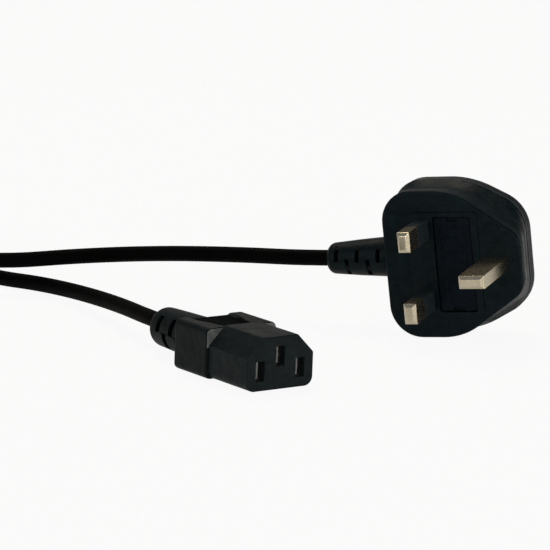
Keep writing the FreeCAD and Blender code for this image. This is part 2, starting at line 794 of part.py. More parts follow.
def connector_cores():
    """Three cores from the contacts' barrels to the cut sheath."""
    barrel_end = number(nose_back + s.contact_web)
    start, bend = barrel_end - SIZES["barrel_grip"], barrel_end + 2.5
    sheath = number(connector_sheath)
    cores = []
    for name, (x, y), (end_x, end_y) in (
        ("connector_line_core", slot_places["line"], (-1.0, -0.6)),
        ("connector_neutral_core", slot_places["neutral"], (1.0, -0.6)),
        ("connector_earth_core", slot_places["earth"], (0.0, 1.15)),
    ):
        x, y = number(x), number(y)
        cores.append(tube(name, [(x, y, -start), (x, y, -bend), (end_x, end_y, -(sheath - 3.5)),
                                 (end_x, end_y, -sheath)], s.core_radius))
    return cores


def flex_room(name, spot, axis, length):
    """The bore that the flex takes up inside a boot."""
    bore = doc.addObject("Part::Cylinder", name)
    bore.setExpression("Radius", formula(s.flex_radius))
    bore.setExpression("Height", formula(length))
    bore.Placement = Placement(spot, Rotation(Vector(0, 0, 1), axis))
    doc.recompute()
    return bore


def make_coil():
    """The wound length of flex: the ring that its turns fill."""
    body = new_body("flex_coil")
    section = new_sketch(body, "coil_sketch", "XZ_Plane")
    block(section, s.coil_middle, s.coil_high / 2, s.coil_wide, s.coil_high, s.coil_round)
    ring = body.newObject("PartDesign::Revolution", "coil_ring")
    ring.Profile = section
    ring.ReferenceAxis = (section, ["V_Axis"])
    ring.Angle = 360
    settle(body, 0.0, True)
    body.Placement = Placement(Vector(SIZES["coil_x"], SIZES["coil_y"], 0), Rotation())
    return body


def turned_boxes(pieces, turn):
    boxes = []
    for piece in pieces:
        shape = piece.Shape.copy()
        shape.Placement = Placement(Vector(), turn)
        boxes.append(shape.optimalBoundingBox(False, False))
    return boxes


def resting_place(pieces, turn):
    """The placement that stands the turned pieces' box on the floor, centred on the origin."""
    boxes = turned_boxes(pieces, turn)
    middle_x = (min(box.XMin for box in boxes) + max(box.XMax for box in boxes)) / 2
    middle_y = (min(box.YMin for box in boxes) + max(box.YMax for box in boxes)) / 2
    return Placement(Vector(-middle_x, -middle_y, -min(box.ZMin for box in boxes)), turn)


def flex_run(name, place, inner, exit_point, steps, coil):
    """A stretch of flex from inside a boot to the coil, cut where it meets the coil."""
    start, leave = place.multVec(inner), place.multVec(exit_point)
    print(f"{name}: leaves at {leave.x:.2f}, {leave.y:.2f}, {leave.z:.2f}, starts at "
          f"{start.x:.2f}, {start.y:.2f}, {start.z:.2f}")
    straight = leave + (leave - start).normalize() * SIZES["flex_straight"]
    points = [start, straight] + [leave + Vector(*step) for step in steps]
    run = tube(name, points, s.flex_radius, SIZES["flex_straight"] * 0.9)
    run.Shape = run.Shape.cut(coil.Shape)
    return run


# Plug pieces
pins = [make_live_pin(), make_neutral_pin(), make_earth_pin()]
sleeves = [make_sleeve("live_sleeve", s.pin_spread), make_sleeve("neutral_sleeve", -s.pin_spread)]
clips = [make_clip("fuse_clip_pin_side", clip_place, False), make_clip("fuse_clip_line_side", -clip_place, True)]
cores = plug_cores()
fuse = make_fuse()
carrier = make_carrier()
bridge = cut_from("pin_bridge", make_bridge_moulding(), pins + sleeves + clips)
plug_bore = flex_room("plug_flex_room", Vector(-SIZES["sheath_end"], 0, -SIZES["flex_axis"]),
                      Vector(-1, 0, 0), s.face_left + s.boot_long - s.sheath_end)
overmould = cut_from("plug_overmould", make_plug_moulding(), pins + clips + cores + [plug_bore])
plug_pieces = pins + sleeves + clips + cores + fuse + [carrier, bridge, overmould]

# Connector pieces
contacts = [make_contact(f"{name}_contact", x, y) for name, (x, y) in slot_places.items()]
insert = make_connector_insert()
connector_wires = connector_cores()
connector_bore = flex_room("connector_flex_room", Vector(0, 0, -number(connector_sheath)),
                           Vector(0, 0, -1), connector_tip - connector_sheath)
connector_overmould = cut_from("connector_overmould", make_connector_moulding(),
                               contacts + connector_wires + [connector_bore])
connector_pieces = contacts + [insert] + connector_wires + [connector_overmould]

# Places on the floor
plug_turn = Rotation(Vector(0, 1, 0), -SIZES["rest_roll"]) * Rotation(Vector(1, 0, 0), 90 + SIZES["rest_pitch"])
plug_place = resting_place(plug_pieces, plug_turn)
connector_turn = (Rotation(Vector(0, 0, 1), SIZES["connector_turn"]) * Rotation(Vector(1, 0, 0), 90)
                  * Rotation(Vector(0, 0, 1), -SIZES["connector_roll"]))
connector_height = -min(box.ZMin for box in turned_boxes(connector_pieces, connector_turn))
connector_place = Placement(
    Vector(SIZES["connector_x"], SIZES["connector_y"], connector_height), connector_turn)
# Flex
coil = make_coil()
runs = [
    flex_run("flex_plug_run", plug_place, Vector(-SIZES["sheath_end"], 0, -SIZES["flex_axis"]),
             Vector(-number(s.face_left + s.boot_long), 0, -SIZES["flex_axis"]), PLUG_RUN, coil),
    flex_run("flex_connector_run", connector_place, Vector(0, 0, -number(connector_sheath)),
             Vector(0, 0, -number(connector_tip)), CONNECTOR_RUN, coil),
]

for piece in plug_pieces:
    piece.Placement = plug_place
for piece in connector_pieces:
    piece.Placement = connector_place

# Checks and export
nodes = plug_pieces + connector_pieces + [coil] + runs
for item in doc.Objects:
    if "Invalid" in item.State or "Error" in item.State:
        raise RuntimeError(f"{item.Label} failed: {item.State}")
os.makedirs("parts", exist_ok=True)
for node in nodes:
    shape = node.Shape
    if shape.isNull() or not shape.isValid() or shape.Volume <= 0:
        raise RuntimeError(f"{node.Label} has no valid solid")
    shape.exportStep(f"parts/{node.Label}.step")
print(f"{len(nodes)} nodes; plug placed at {plug_place.Base}, connector at {connector_place.Base}")
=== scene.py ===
import bmesh
import bpy
import json
import math
from mathutils import Matrix, Quaternion, Vector


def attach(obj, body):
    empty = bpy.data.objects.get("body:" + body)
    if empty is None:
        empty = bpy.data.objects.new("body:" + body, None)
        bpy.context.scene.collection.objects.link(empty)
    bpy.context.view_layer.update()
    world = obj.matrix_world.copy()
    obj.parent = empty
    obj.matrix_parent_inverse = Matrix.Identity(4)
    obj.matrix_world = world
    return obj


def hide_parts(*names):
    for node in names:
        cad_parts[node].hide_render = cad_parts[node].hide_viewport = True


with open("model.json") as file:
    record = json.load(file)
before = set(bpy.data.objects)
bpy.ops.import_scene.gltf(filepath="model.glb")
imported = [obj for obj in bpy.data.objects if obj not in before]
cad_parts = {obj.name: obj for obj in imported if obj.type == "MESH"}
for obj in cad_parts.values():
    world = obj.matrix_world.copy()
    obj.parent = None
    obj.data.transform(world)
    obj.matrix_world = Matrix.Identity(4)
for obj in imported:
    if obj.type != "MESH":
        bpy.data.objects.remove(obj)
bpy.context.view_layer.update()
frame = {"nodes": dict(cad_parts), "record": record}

MM = 0.001


def turned(degrees, axis):
    return Matrix.Rotation(math.radians(degrees), 4, axis)


# Frames of the plug and of the appliance connector: their own x, y, z and their origins, in the lead's frame
PLUG = Matrix.Translation((0.00246695, 0.00027396, 0.02335803)) @ turned(-5, "Y") @ turned(93, "X")
CONNECTOR = (Matrix.Translation((-0.0146, -0.0747, 0.00833736))
             @ turned(57.9, "Z") @ turned(90, "X") @ turned(-2.7, "Z"))

# Camera from the photograph's viewpoint: spot and target in metres, roll in degrees, focal length in pixels
CAMERA_SPOT = Vector((0.30649, -0.84614, 0.21765))
CAMERA_TARGET = Vector((-0.04017, -0.01744, 0.02033))
CAMERA_ROLL = -0.2
FOCAL_PIXELS, PICTURE_PIXELS = 3000, 550


def set_up_camera():
    camera = bpy.data.objects.new("camera", bpy.data.cameras.new("camera"))
    bpy.context.scene.collection.objects.link(camera)
    camera.location = CAMERA_SPOT
    camera.rotation_mode = "QUATERNION"
    aim = (CAMERA_TARGET - CAMERA_SPOT).to_track_quat("-Z", "Y")
    camera.rotation_quaternion = aim @ Quaternion((0, 0, 1), math.radians(CAMERA_ROLL))
    camera.data.sensor_width = 36
    camera.data.lens = FOCAL_PIXELS / PICTURE_PIXELS * camera.data.sensor_width
    camera.data.clip_start, camera.data.clip_end = 0.05, 20
    bpy.context.scene.camera = camera


# Materials
def new_material(name):
    material = bpy.data.materials.new(name)
    material.use_nodes = True
    return material, material.node_tree.nodes, material.node_tree.links


def fill(links, socket, value):
    """Links another node's output to a socket, or sets the socket's own value."""
    if isinstance(value, bpy.types.NodeSocket):
        links.new(value, socket)
    else:
        socket.default_value = value


def reckon(nodes, links, operation, *values, clamp=False):
    node = nodes.new("ShaderNodeMath")
    node.operation, node.use_clamp = operation, clamp
    for socket, value in zip(node.inputs, values):
        fill(links, socket, value)
    return node.outputs[0]


def noise(nodes, links, scale, detail=3.0, stretch=None, turn=None):
    """A noise on the piece's own place, in cells per metre, stretched and turned where it has a direction."""
    place = nodes.new("ShaderNodeTexCoord").outputs["Object"]
    if stretch:
        mapping = nodes.new("ShaderNodeMapping")
        mapping.vector_type = "TEXTURE"
        mapping.inputs["Scale"].default_value = stretch
        mapping.inputs["Rotation"].default_value = turn or (0, 0, 0)
        links.new(place, mapping.inputs["Vector"])
        place = mapping.outputs["Vector"]
    texture = nodes.new("ShaderNodeTexNoise")
    texture.inputs["Scale"].default_value = scale
    texture.inputs["Detail"].default_value = detail
    links.new(place, texture.inputs["Vector"])
    return texture.outputs["Fac"]


def spread(nodes, links, value, low, high, start=0.3, end=0.7):
    ranged = nodes.new("ShaderNodeMapRange")
    for name, number in (("From Min", start), ("From Max", end), ("To Min", low), ("To Max", high)):
        ranged.inputs[name].default_value = number
    links.new(value, ranged.inputs["Value"])
    return ranged.outputs["Result"]


def two_tone(nodes, links, value, dark, light, start=0.35, end=0.65):
    ramp = nodes.new("ShaderNodeValToRGB")
    for element, place, colour in zip(ramp.color_ramp.elements, (start, end), (dark, light)):
        element.position, element.color = place, (*colour, 1)
    links.new(value, ramp.inputs["Fac"])
    return ramp.outputs["Color"]


def relief(nodes, links, layers):
    """Bump layers, one over the other, each a (height, depth in metres) pair."""
    normal = None
    for height, depth in layers:
        bump = nodes.new("ShaderNodeBump")
        bump.inputs["Distance"].default_value = depth
        links.new(height, bump.inputs["Height"])
        if normal:
            links.new(normal, bump.inputs["Normal"])
        normal = bump.outputs["Normal"]
    return normal


def moulded(name, dark, light, roughness, gloss, grain=5200, depth=0.00003, mottle=420):
    """Moulded plastic: eroded grain, a soft change of tone and a gloss that handling has varied."""
    material, nodes, links = new_material(name)
    shader = nodes["Principled BSDF"]
    shader.inputs["Specular IOR Level"].default_value = gloss
    cloud = noise(nodes, links, mottle, 5)
    links.new(two_tone(nodes, links, cloud, dark, light), shader.inputs["Base Color"])
    rubbed = noise(nodes, links, mottle * 0.4, 6)
    links.new(spread(nodes, links, rubbed, roughness - 0.07, roughness + 0.08), shader.inputs["Roughness"])
    links.new(relief(nodes, links, [(noise(nodes, links, grain, 2), depth),
                                    (noise(nodes, links, mottle * 0.7, 2), depth * 6)]),
              shader.inputs["Normal"])
    return material


def drawn_metal(name, dark, light, roughness, turn, stretch=(1, 1, 14)):
    """Bright plated metal with fine drawing lines along the piece and faint handling marks."""
    material, nodes, links = new_material(name)
    shader = nodes["Principled BSDF"]
    shader.inputs["Metallic"].default_value = 1
    lines = noise(nodes, links, 5200, 3, stretch, turn)
    marks = noise(nodes, links, 300, 6)
    links.new(two_tone(nodes, links, marks, dark, light), shader.inputs["Base Color"])
    links.new(spread(nodes, links, lines, roughness - 0.03, roughness + 0.03), shader.inputs["Roughness"])
    links.new(relief(nodes, links, [(lines, 0.0000006), (marks, 0.000004)]), shader.inputs["Normal"])
    return material


def striped_insulation():
    """Green core insulation with its yellow stripe."""
    material, nodes, links = new_material("green_yellow_insulation")
    shader = nodes["Principled BSDF"]
    shader.inputs["Specular IOR Level"].default_value = 0.4
    wave = noise(nodes, links, 260, 1, (6, 1, 1))
    links.new(two_tone(nodes, links, wave, (0.05, 0.28, 0.04), (0.75, 0.6, 0.03), 0.49, 0.52),
              shader.inputs["Base Color"])
    shader.inputs["Roughness"].default_value = 0.35
    return material


# Finishes by material slot: dark and light tone, roughness and gloss of the plastics
PLUG_TURN = tuple(PLUG.to_euler())
CONNECTOR_TURN = tuple(CONNECTOR.to_euler())
FINISHES = {
    "overmould_pvc": moulded("black_overmould", (0.0013, 0.0048, 0.0066), (0.0036, 0.0094, 0.0118), 0.4, 0.09),
    "bridge_plastic": moulded("black_bridge", (0.0014, 0.0046, 0.0066), (0.003, 0.008, 0.0104), 0.42, 0.1),
    "carrier_plastic": moulded("navy_carrier", (0.0009, 0.003, 0.006), (0.002, 0.0056, 0.01), 0.4, 0.08),
    "sleeve_plastic": moulded("black_sleeve", (0.012, 0.019, 0.022), (0.018, 0.026, 0.029), 0.36, 0.3),
    "connector_pvc": moulded("connector_overmould_pvc", (0.0022, 0.0048, 0.0056), (0.0045, 0.0085, 0.0092),
                             0.44, 0.08),
    "insert_plastic": moulded("connector_insert_plastic", (0.0045, 0.0085, 0.0092), (0.0085, 0.0135, 0.0142),
                              0.44, 0.08),
    "flex_pvc": moulded("flex_sheath", (0.0003, 0.0003, 0.0003), (0.0007, 0.0007, 0.0007), 0.6, 0.03,
                        grain=3800, depth=0.00004, mottle=160),
    "pin_metal": drawn_metal("plated_pin", (0.56, 0.49, 0.36), (0.64, 0.56, 0.41), 0.27, PLUG_TURN),
    "spring_metal": drawn_metal("spring_metal", (0.8, 0.79, 0.75), (0.92, 0.91, 0.88), 0.5, CONNECTOR_TURN),
    "fuse_cap_metal": drawn_metal("fuse_cap", (0.6, 0.6, 0.57), (0.72, 0.71, 0.69), 0.28, PLUG_TURN,
                                  (1, 14, 1)),
    "fuse_ceramic": moulded("fuse_body", (0.62, 0.58, 0.5), (0.74, 0.71, 0.64), 0.3, 0.5, depth=0.00001),
    "core_brown": moulded("brown_insulation", (0.10, 0.035, 0.012), (0.16, 0.06, 0.02), 0.35, 0.4),
    "core_blue": moulded("blue_insulation", (0.01, 0.06, 0.30), (0.02, 0.10, 0.42), 0.35, 0.4),
    "core_green": striped_insulation(),
}

# Two finishes on parts of the grip: a painted highlight on its front shoulder, a much lighter colour with more
# gloss, and painted shade in its matt thumb recess, a darker colour
GRIP_FRONT_PAINTED_HIGHLIGHT = moulded("connector_grip_front_painted_highlight", (0.09, 0.097, 0.092), (0.14, 0.15, 0.143), 0.4, 0.4,
                     depth=0.00005)
GRIP_RECESS_PAINTED_SHADE = moulded("connector_grip_recess_painted_shade", (0.0012, 0.0021, 0.0027), (0.0021, 0.0034, 0.004), 0.7, 0.02,
                      depth=0.00005)

SLOT_OF = {item["node"]: item["material_slot"] for item in frame["record"]["subparts"]}


# Mesh helpers
def soft_step(value, start, end):
    """From 0 at start to 1 at end, level at both."""
    share = min(max((value - start) / (end - start), 0), 1)
    return share * share * (3 - 2 * share)


def add_piece(name, data, slot, body="lead"):
    piece = bpy.data.objects.new(name, data)
    bpy.context.scene.collection.objects.link(piece)
    if slot:
        data.materials.clear()
        data.materials.append(FINISHES[slot])
    if body:
        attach(piece, body)
    return piece


def finish_mesh(shell, name, frame_matrix=None, sharp=35):
    """Turns a bmesh into a mesh in its place, shaded smooth up to the sharp angle."""
    if frame_matrix:
        bmesh.ops.transform(shell, matrix=frame_matrix, verts=shell.verts)
    mesh = bpy.data.meshes.new(name)
    shell.to_mesh(mesh)
    shell.free()
    mesh.shade_smooth()
    mesh.set_sharp_from_angle(angle=math.radians(sharp))
    return mesh


def skin(shell, rings, close_first=False, close_last=False):
    """Joins rings of equally many points by quads, and closes the ends where asked."""
    loops = [[shell.verts.new(point) for point in ring] for ring in rings]
    count = len(loops[0])
    for before, after in zip(loops, loops[1:]):
        for i in range(count):
            shell.faces.new((before[i], before[(i + 1) % count], after[(i + 1) % count], after[i]))
    if close_first:
        shell.faces.new(list(reversed(loops[0])))
    if close_last:
        shell.faces.new(loops[-1])


def close_caps(shell):
    """Divides the large end faces into triangles and points every face outwards."""
    bmesh.ops.poke(shell, faces=[face for face in shell.faces if len(face.verts) > 4])
    bmesh.ops.recalc_face_normals(shell, faces=shell.faces)


def merge_ring(shell):
    """Joins the first and last ring of a skin that runs round into itself."""
    bmesh.ops.remove_doubles(shell, verts=shell.verts, dist=1e-7)
    bmesh.ops.recalc_face_normals(shell, faces=shell.faces)


def round_edges(piece, width, limit):
    bevel = piece.modifiers.new("edges", "BEVEL")
    bevel.width, bevel.segments, bevel.limit_method = width, 2, "ANGLE"
    bevel.angle_limit = math.radians(limit)


def dress(node, edge, body="lead"):
    """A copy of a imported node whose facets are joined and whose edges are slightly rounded."""
    shell = bmesh.new()
    shell.from_mesh(frame["nodes"][node].data)
    bmesh.ops.remove_doubles(shell, verts=shell.verts, dist=2e-6)
    bmesh.ops.dissolve_limit(shell, angle_limit=math.radians(0.6), verts=shell.verts, edges=shell.edges)
    name = node + "_dressed"
    piece = add_piece(name, finish_mesh(shell, name), SLOT_OF[node], body)
    round_edges(piece, edge, 32)
    weighted = piece.modifiers.new("shading", "WEIGHTED_NORMAL")
    weighted.keep_sharp = True
    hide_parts(node)


def rounded_outline(corners, arc_points=12, side_points=7):
    """Points round a closed outline of (x, y, rounding) corners, the same number for each outline."""
    points = [Vector((x, y)) for x, y, rounding in corners]
    arcs = []
    for i, (x, y, rounding) in enumerate(corners):
        here, before, after = points[i], points[i - 1], points[(i + 1) % len(points)]
        inward, outward = (before - here).normalized(), (after - here).normalized()
        half = math.acos(max(-1, min(1, inward.dot(outward)))) / 2
        reach = rounding / math.tan(half)
        start, end = here + inward * reach, here + outward * reach
        centre = here + (inward + outward).normalized() * (rounding / math.sin(half))
        first = math.atan2(*(start - centre).yx)
        sweep = (math.atan2(*(end - centre).yx) - first + math.pi) % (2 * math.pi) - math.pi
        turns = [first + sweep * k / (arc_points - 1) for k in range(arc_points)]
        arcs.append([centre + Vector((math.cos(turn), math.sin(turn))) * rounding for turn in turns])
    found = []
    for i, arc in enumerate(arcs):
        following = arcs[(i + 1) % len(arcs)][0]
        found += arc
        found += [arc[-1].lerp(following, k / (side_points + 1)) for k in range(1, side_points + 1)]
    return found


# Plug body: face plate, finger grip, flange and back, all one moulding, in millimetres. Each outline is the
# face's, grown or drawn in, with its own half-heights at shoulder and head; depths are behind the face
FACE = dict(grow=0.0, shoulder=10.0, head=8.7, right=30.9, head_round=7.0, sweep=20.0)
WAIST = dict(grow=-0.9, shoulder=10.33, head=10.63, right=30.0, head_round=7.0, sweep=20.0)
FLANGE = dict(grow=0.6, shoulder=11.0, head=14.5, right=28.7, head_round=12.0, sweep=28.0)
FACE_LEFT, FACE_HALF, FACE_CORNER = 13.2, 23.2, 10.0
FACE_ROUNDING = 0.8
FACE_DEPTH, WAIST_DEPTH, FLANGE_DEPTH = 2.4, 7.2, 12.9
FLANGE_BEAD = [(12.98, 0.02), (13.1, -0.1), (13.35, -0.12), (13.6, 0.0), (15.2, 0.0)]
BACK_DEPTH, BACK_ROUNDING = 17.0, 4.2
BACK_MIDDLE = Vector((8, 0))
OPENING = dict(left=-5.1, right=17.9, half=16.5, corner=1.5)
OPENING_DEPTHS = (2.6, 0.12, 0.0)
FACE_SHARES, BACK_SHARES = (0.012, 0.5, 0.93), (0.97, 0.6, 0.25)
FACE_SIDE_DEPTHS = (1.6, 2.35)


def mixed(first, second, share):
    return {key: first[key] + (second[key] - first[key]) * share for key in first}


def plug_outline(shape, inset=0.0):
    left, half = -(FACE_LEFT + shape["grow"]) + inset, FACE_HALF + shape["grow"] - inset
    right, head = shape["right"] - inset, shape["head"] - inset * 0.6
    shoulder = shape["shoulder"] - inset * 0.3
    corner, head_round, sweep = FACE_CORNER - inset, shape["head_round"] - inset * 0.5, shape["sweep"]
    return rounded_outline([(left, -half, corner), (shoulder, -half, sweep), (right, -head, head_round),
                            (right, head, head_round), (shoulder, half, sweep), (left, half, corner)])


def bridge_opening(outline):
    """The opening's point in the direction of each outline point, seen from the opening's middle."""
    centre = Vector(((OPENING["left"] + OPENING["right"]) / 2, 0))
    wide, high, corner = (OPENING["right"] - OPENING["left"]) / 2, OPENING["half"], OPENING["corner"]
    inner = Vector((wide - corner, high - corner))
    found = []
    for point in outline:
        ray = point - centre
        spot = ray / max(abs(ray.x) / wide, abs(ray.y) / high)
        over = Vector((abs(spot.x) - inner.x, abs(spot.y) - inner.y))
        if over.x > 0 and over.y > 0:
            over = over.normalized() * corner
            spot = Vector((math.copysign(inner.x + over.x, spot.x), math.copysign(inner.y + over.y, spot.y)))
        found.append(centre + spot)
    return found


def make_plug_body():
    def at_depth(outline, depth):
        return [(p.x * MM, p.y * MM, -depth * MM) for p in outline]

    def ring(shape, depth, inset=0.0):
        rings.append(at_depth(plug_outline(shape, inset), depth))

    face = plug_outline(FACE, FACE_ROUNDING)
    opening = bridge_opening(face)
    rings = [at_depth(opening, depth) for depth in OPENING_DEPTHS]
    for share in FACE_SHARES:
        rings.append(at_depth([a.lerp(b, share) for a, b in zip(opening, face)], 0))
    for k in range(6):
        turn = math.radians(90 * k / 5)
        ring(FACE, FACE_ROUNDING * (1 - math.cos(turn)), FACE_ROUNDING * (1 - math.sin(turn)))
    for depth in FACE_SIDE_DEPTHS:
        ring(FACE, depth)
    for k in range(1, 8):
        share = k / 8
        ring(mixed(FACE, WAIST, soft_step(share, 0, 1)), FACE_DEPTH + (WAIST_DEPTH - FACE_DEPTH) * share)
    for k in range(9):
        share = k / 9
        ring(mixed(WAIST, FLANGE, share * share * (1.7 - 0.7 * share)),
             WAIST_DEPTH + (FLANGE_DEPTH - WAIST_DEPTH) * share)
    for depth, inset in FLANGE_BEAD:
        ring(FLANGE, depth, inset)
    for k in range(9):
        turn = math.radians(90 * k / 8)
        ring(FLANGE, BACK_DEPTH + BACK_ROUNDING * math.sin(turn), BACK_ROUNDING * (1 - math.cos(turn)))
    back = plug_outline(FLANGE, BACK_ROUNDING)
    for share in BACK_SHARES:
        rings.append(at_depth([BACK_MIDDLE.lerp(p, share) for p in back], BACK_DEPTH + BACK_ROUNDING))
    shell = bmesh.new()
    skin(shell, rings, close_last=True)
    close_caps(shell)
    piece = add_piece("plug_body", finish_mesh(shell, "plug_body", PLUG, 50), "overmould_pvc")
    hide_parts("plug_overmould")


# Bare raised ring on the face, beside the carrier
RING_PLACE, RING_RADIUS, RING_POINTS = (22.6, 9.7), 3.2, 72
RING_SECTION = [(-0.26, -0.05), (-0.2, 0.16), (-0.1, 0.24), (0.1, 0.24), (0.2, 0.16), (0.26, -0.05)]


def make_face_ring():
    rings = []
    for k in range(RING_POINTS):
        turn = 2 * math.pi * k / RING_POINTS
        rings.append([((RING_PLACE[0] + (RING_RADIUS + offset) * math.cos(turn)) * MM,
                       (RING_PLACE[1] + (RING_RADIUS + offset) * math.sin(turn)) * MM, height * MM)
                      for offset, height in RING_SECTION])
    rings.append(rings[0])
    shell = bmesh.new()
    skin(shell, rings)
    merge_ring(shell)
    piece = add_piece("face_ring", finish_mesh(shell, "face_ring", PLUG), "overmould_pvc")
    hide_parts("plug_overmould")


# Strain-relief boots with staggered slits
def slit_cutter():
    """Cuts two staggered combs of slits across a boot along x, down to the flex's skin."""
    tree = bpy.data.node_groups.new("staggered_slits", "GeometryNodeTree")
    kinds = {"Boot": "Geometry", "Upper slits": "Int", "Lower slits": "Int", "First slit": "Float",
             "Slit pitch": "Float", "Slit width": "Float", "Upper bottom": "Float", "Upper top": "Float",
             "Lower bottom": "Float", "Lower top": "Float", "Skin radius": "Float", "Finish": "Material"}
    for name, kind in kinds.items():
        tree.interface.new_socket(name, in_out="INPUT", socket_type="NodeSocket" + kind)
    tree.interface.new_socket("Boot", in_out="OUTPUT", socket_type="NodeSocketGeometry")
    nodes, links = tree.nodes, tree.links
    given, result = nodes.new("NodeGroupInput").outputs, nodes.new("NodeGroupOutput")

    def made(kind, **inputs):
        """The first output of a new node, with its inputs filled by name."""
        node = nodes.new(kind)
        for name, value in inputs.items():
            fill(links, node.inputs[name.replace("_", " ")], value)
        return node.outputs[0]

    def less(whole, taken):
        node = nodes.new("GeometryNodeMeshBoolean")
        node.operation, node.solver = "DIFFERENCE", "EXACT"
        links.new(whole, node.inputs["Mesh 1"])
        links.new(taken, node.inputs["Mesh 2"])
        return node.outputs["Mesh"]

    def comb(count, first, bottom, top):
        """Blocks as wide as a slit, between two levels, at every second place along the boot."""
        start = made("ShaderNodeCombineXYZ", X=first)
        step = made("ShaderNodeCombineXYZ", X=reckon(nodes, links, "MULTIPLY", given["Slit pitch"], 2.0))
        line = made("GeometryNodeMeshLine", Count=count, Start_Location=start, Offset=step)
        tall = reckon(nodes, links, "SUBTRACT", top, bottom)
        level = reckon(nodes, links, "MULTIPLY", reckon(nodes, links, "ADD", top, bottom), 0.5)
        size = made("ShaderNodeCombineXYZ", X=given["Slit width"], Y=tall, Z=0.03)
        block = made("GeometryNodeTransform", Geometry=made("GeometryNodeMeshCube", Size=size),
                     Translation=made("ShaderNodeCombineXYZ", Y=level))
        blocks = made("GeometryNodeInstanceOnPoints", Points=line, Instance=block)
        return made("GeometryNodeRealizeInstances", Geometry=blocks)

    flex_skin = made("GeometryNodeMeshCylinder", Vertices=48, Radius=given["Skin radius"], Depth=0.12)
    flex_skin = made("GeometryNodeTransform", Geometry=flex_skin, Rotation=(0, math.pi / 2, 0))
    second = reckon(nodes, links, "ADD", given["First slit"], given["Slit pitch"])
    upper = comb(given["Upper slits"], given["First slit"], given["Upper bottom"], given["Upper top"])
    lower = comb(given["Lower slits"], second, given["Lower bottom"], given["Lower top"])
    cut = less(less(given["Boot"], less(upper, flex_skin)), less(lower, flex_skin))
    cut = made("GeometryNodeRealizeInstances", Geometry=cut)
    links.new(made("GeometryNodeSetMaterial", Geometry=cut, Material=given["Finish"]), result.inputs["Boot"])
    return tree


# The two boots, along -x of their frames: lengths, radii and slit levels in millimetres. The slits are set out
# from the tip, and their levels from the boot's axis
SLITS_ABOVE, SLITS_BELOW = 3, 2
FLEX_CLEARANCE = 2.65
BOOT_MOUTH = [(0.1, 2.55), (3.0, 2.4)]
PLUG_BOOT = dict(
    frame=PLUG @ Matrix.Translation((-FACE_LEFT * MM, 0, -9.5 * MM)),
    node="plug_overmould", slot="overmould_pvc", length=22.2, root=6.4, tip=4.95, edge=2.6, lift=0.5,
    slits={"First slit": 4.0, "Slit pitch": 3.6, "Slit width": 1.4, "Upper bottom": -0.1, "Upper top": 4.5,
           "Lower bottom": -4.5, "Lower top": 0.9})
CONNECTOR_BOOT = dict(
    frame=CONNECTOR @ Matrix.Translation((0, -0.8 * MM, -37.7 * MM)) @ turned(-90, "Y"),
    node="connector_overmould", slot="connector_pvc", length=24.0, root=6.7, tip=6.1, edge=3.0, lift=0.0,
    slits={"First slit": 6.3, "Slit pitch": 3.6, "Slit width": 2.2, "Upper bottom": -0.2, "Upper top": 4.5,
           "Lower bottom": -5.6, "Lower top": -0.1})


def boot_rings(boot, count=96):
    length, tip, edge = boot["length"], boot["tip"], boot["edge"]
    stations = [(-1.5, boot["root"]), (0, boot["root"]), (length * 0.5, (boot["root"] + tip) / 2)]
    for k in range(9):
        turn = math.radians(90 * k / 8)
        stations.append((length - edge + edge * math.sin(turn), tip - edge + edge * math.cos(turn)))
    stations += [(length - inside, radius) for inside, radius in BOOT_MOUTH]
    rings = []
    for along, radius in stations:
        raised = boot["lift"] * (1 - max(along, 0) / length)
        turns = [2 * math.pi * k / count for k in range(count)]
        rings.append([(-along * MM, (radius * math.cos(turn) + raised) * MM, radius * math.sin(turn) * MM)
                      for turn in turns])
    return rings


def make_boot(name, boot, cutting):
    """A tapered boot with its slits cut, its axis raised at its root."""
    shell = bmesh.new()
    skin(shell, boot_rings(boot), close_first=True, close_last=True)
    bmesh.ops.recalc_face_normals(shell, faces=shell.faces)
    piece = add_piece(name, finish_mesh(shell, name), None, None)
    cutter = piece.modifiers.new("slits", "NODES")
    cutter.node_group = cutting
    chosen = {key: value * MM for key, value in boot["slits"].items()}
    chosen["First slit"] -= boot["length"] * MM
    chosen.update({"Upper slits": SLITS_ABOVE, "Lower slits": SLITS_BELOW, "Skin radius": FLEX_CLEARANCE * MM,
                   "Finish": FINISHES[boot["slot"]]})
    for socket in cutting.interface.items_tree:
        if socket.in_out == "INPUT" and socket.name in chosen:
            cutter[socket.identifier] = chosen[socket.name]
    mesh = bpy.data.meshes.new_from_object(piece.evaluated_get(bpy.context.evaluated_depsgraph_get()))
    piece.modifiers.clear()
    piece.data = mesh
    mesh.transform(boot["frame"])
    mesh.shade_smooth()
    mesh.set_sharp_from_angle(angle=math.radians(35))
    round_edges(piece, 0.00014, 50)
    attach(piece, "lead")
    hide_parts(boot["node"])


# Connector grip: rounded block with a thumb recess in its top, and a neck down to the boot. Distances in
# millimetres from the connector's axis and behind its nose
GRIP_HALF, GRIP_BOTTOM, GRIP_TOP, GRIP_ROUNDING = 12.4, -7.9, 7.25, 1.9
GRIP_FRONT_AT, GRIP_FRONT_ROUNDING = 19.8, 0.5
NOSE_BEDDING = (3.0, 1.2)
GRIP_RINGS, GRIP_STEP = 41, 0.38
NECK = [(36.35, 0.05), (36.5, 0.2), (36.62, 0.45), (37.2, 0.9), (37.6, 1.1), (37.7, 1.5), (37.7, 5.0)]
RECESS_FRONT, RECESS_FLOOR, RECESS_BACK = 21.0, 22.6, 36.5
RECESS_MIDDLE, RECESS_NARROW, RECESS_WIDER = -0.6, 4.6, 2.6
RECESS_DEPTH, RECESS_RISE = 2.3, 1.8
# Height above the connector's axis, in millimetres, from which forward faces of the grip get the painted
# highlight
PAINTED_HIGHLIGHT_ABOVE = 1.6


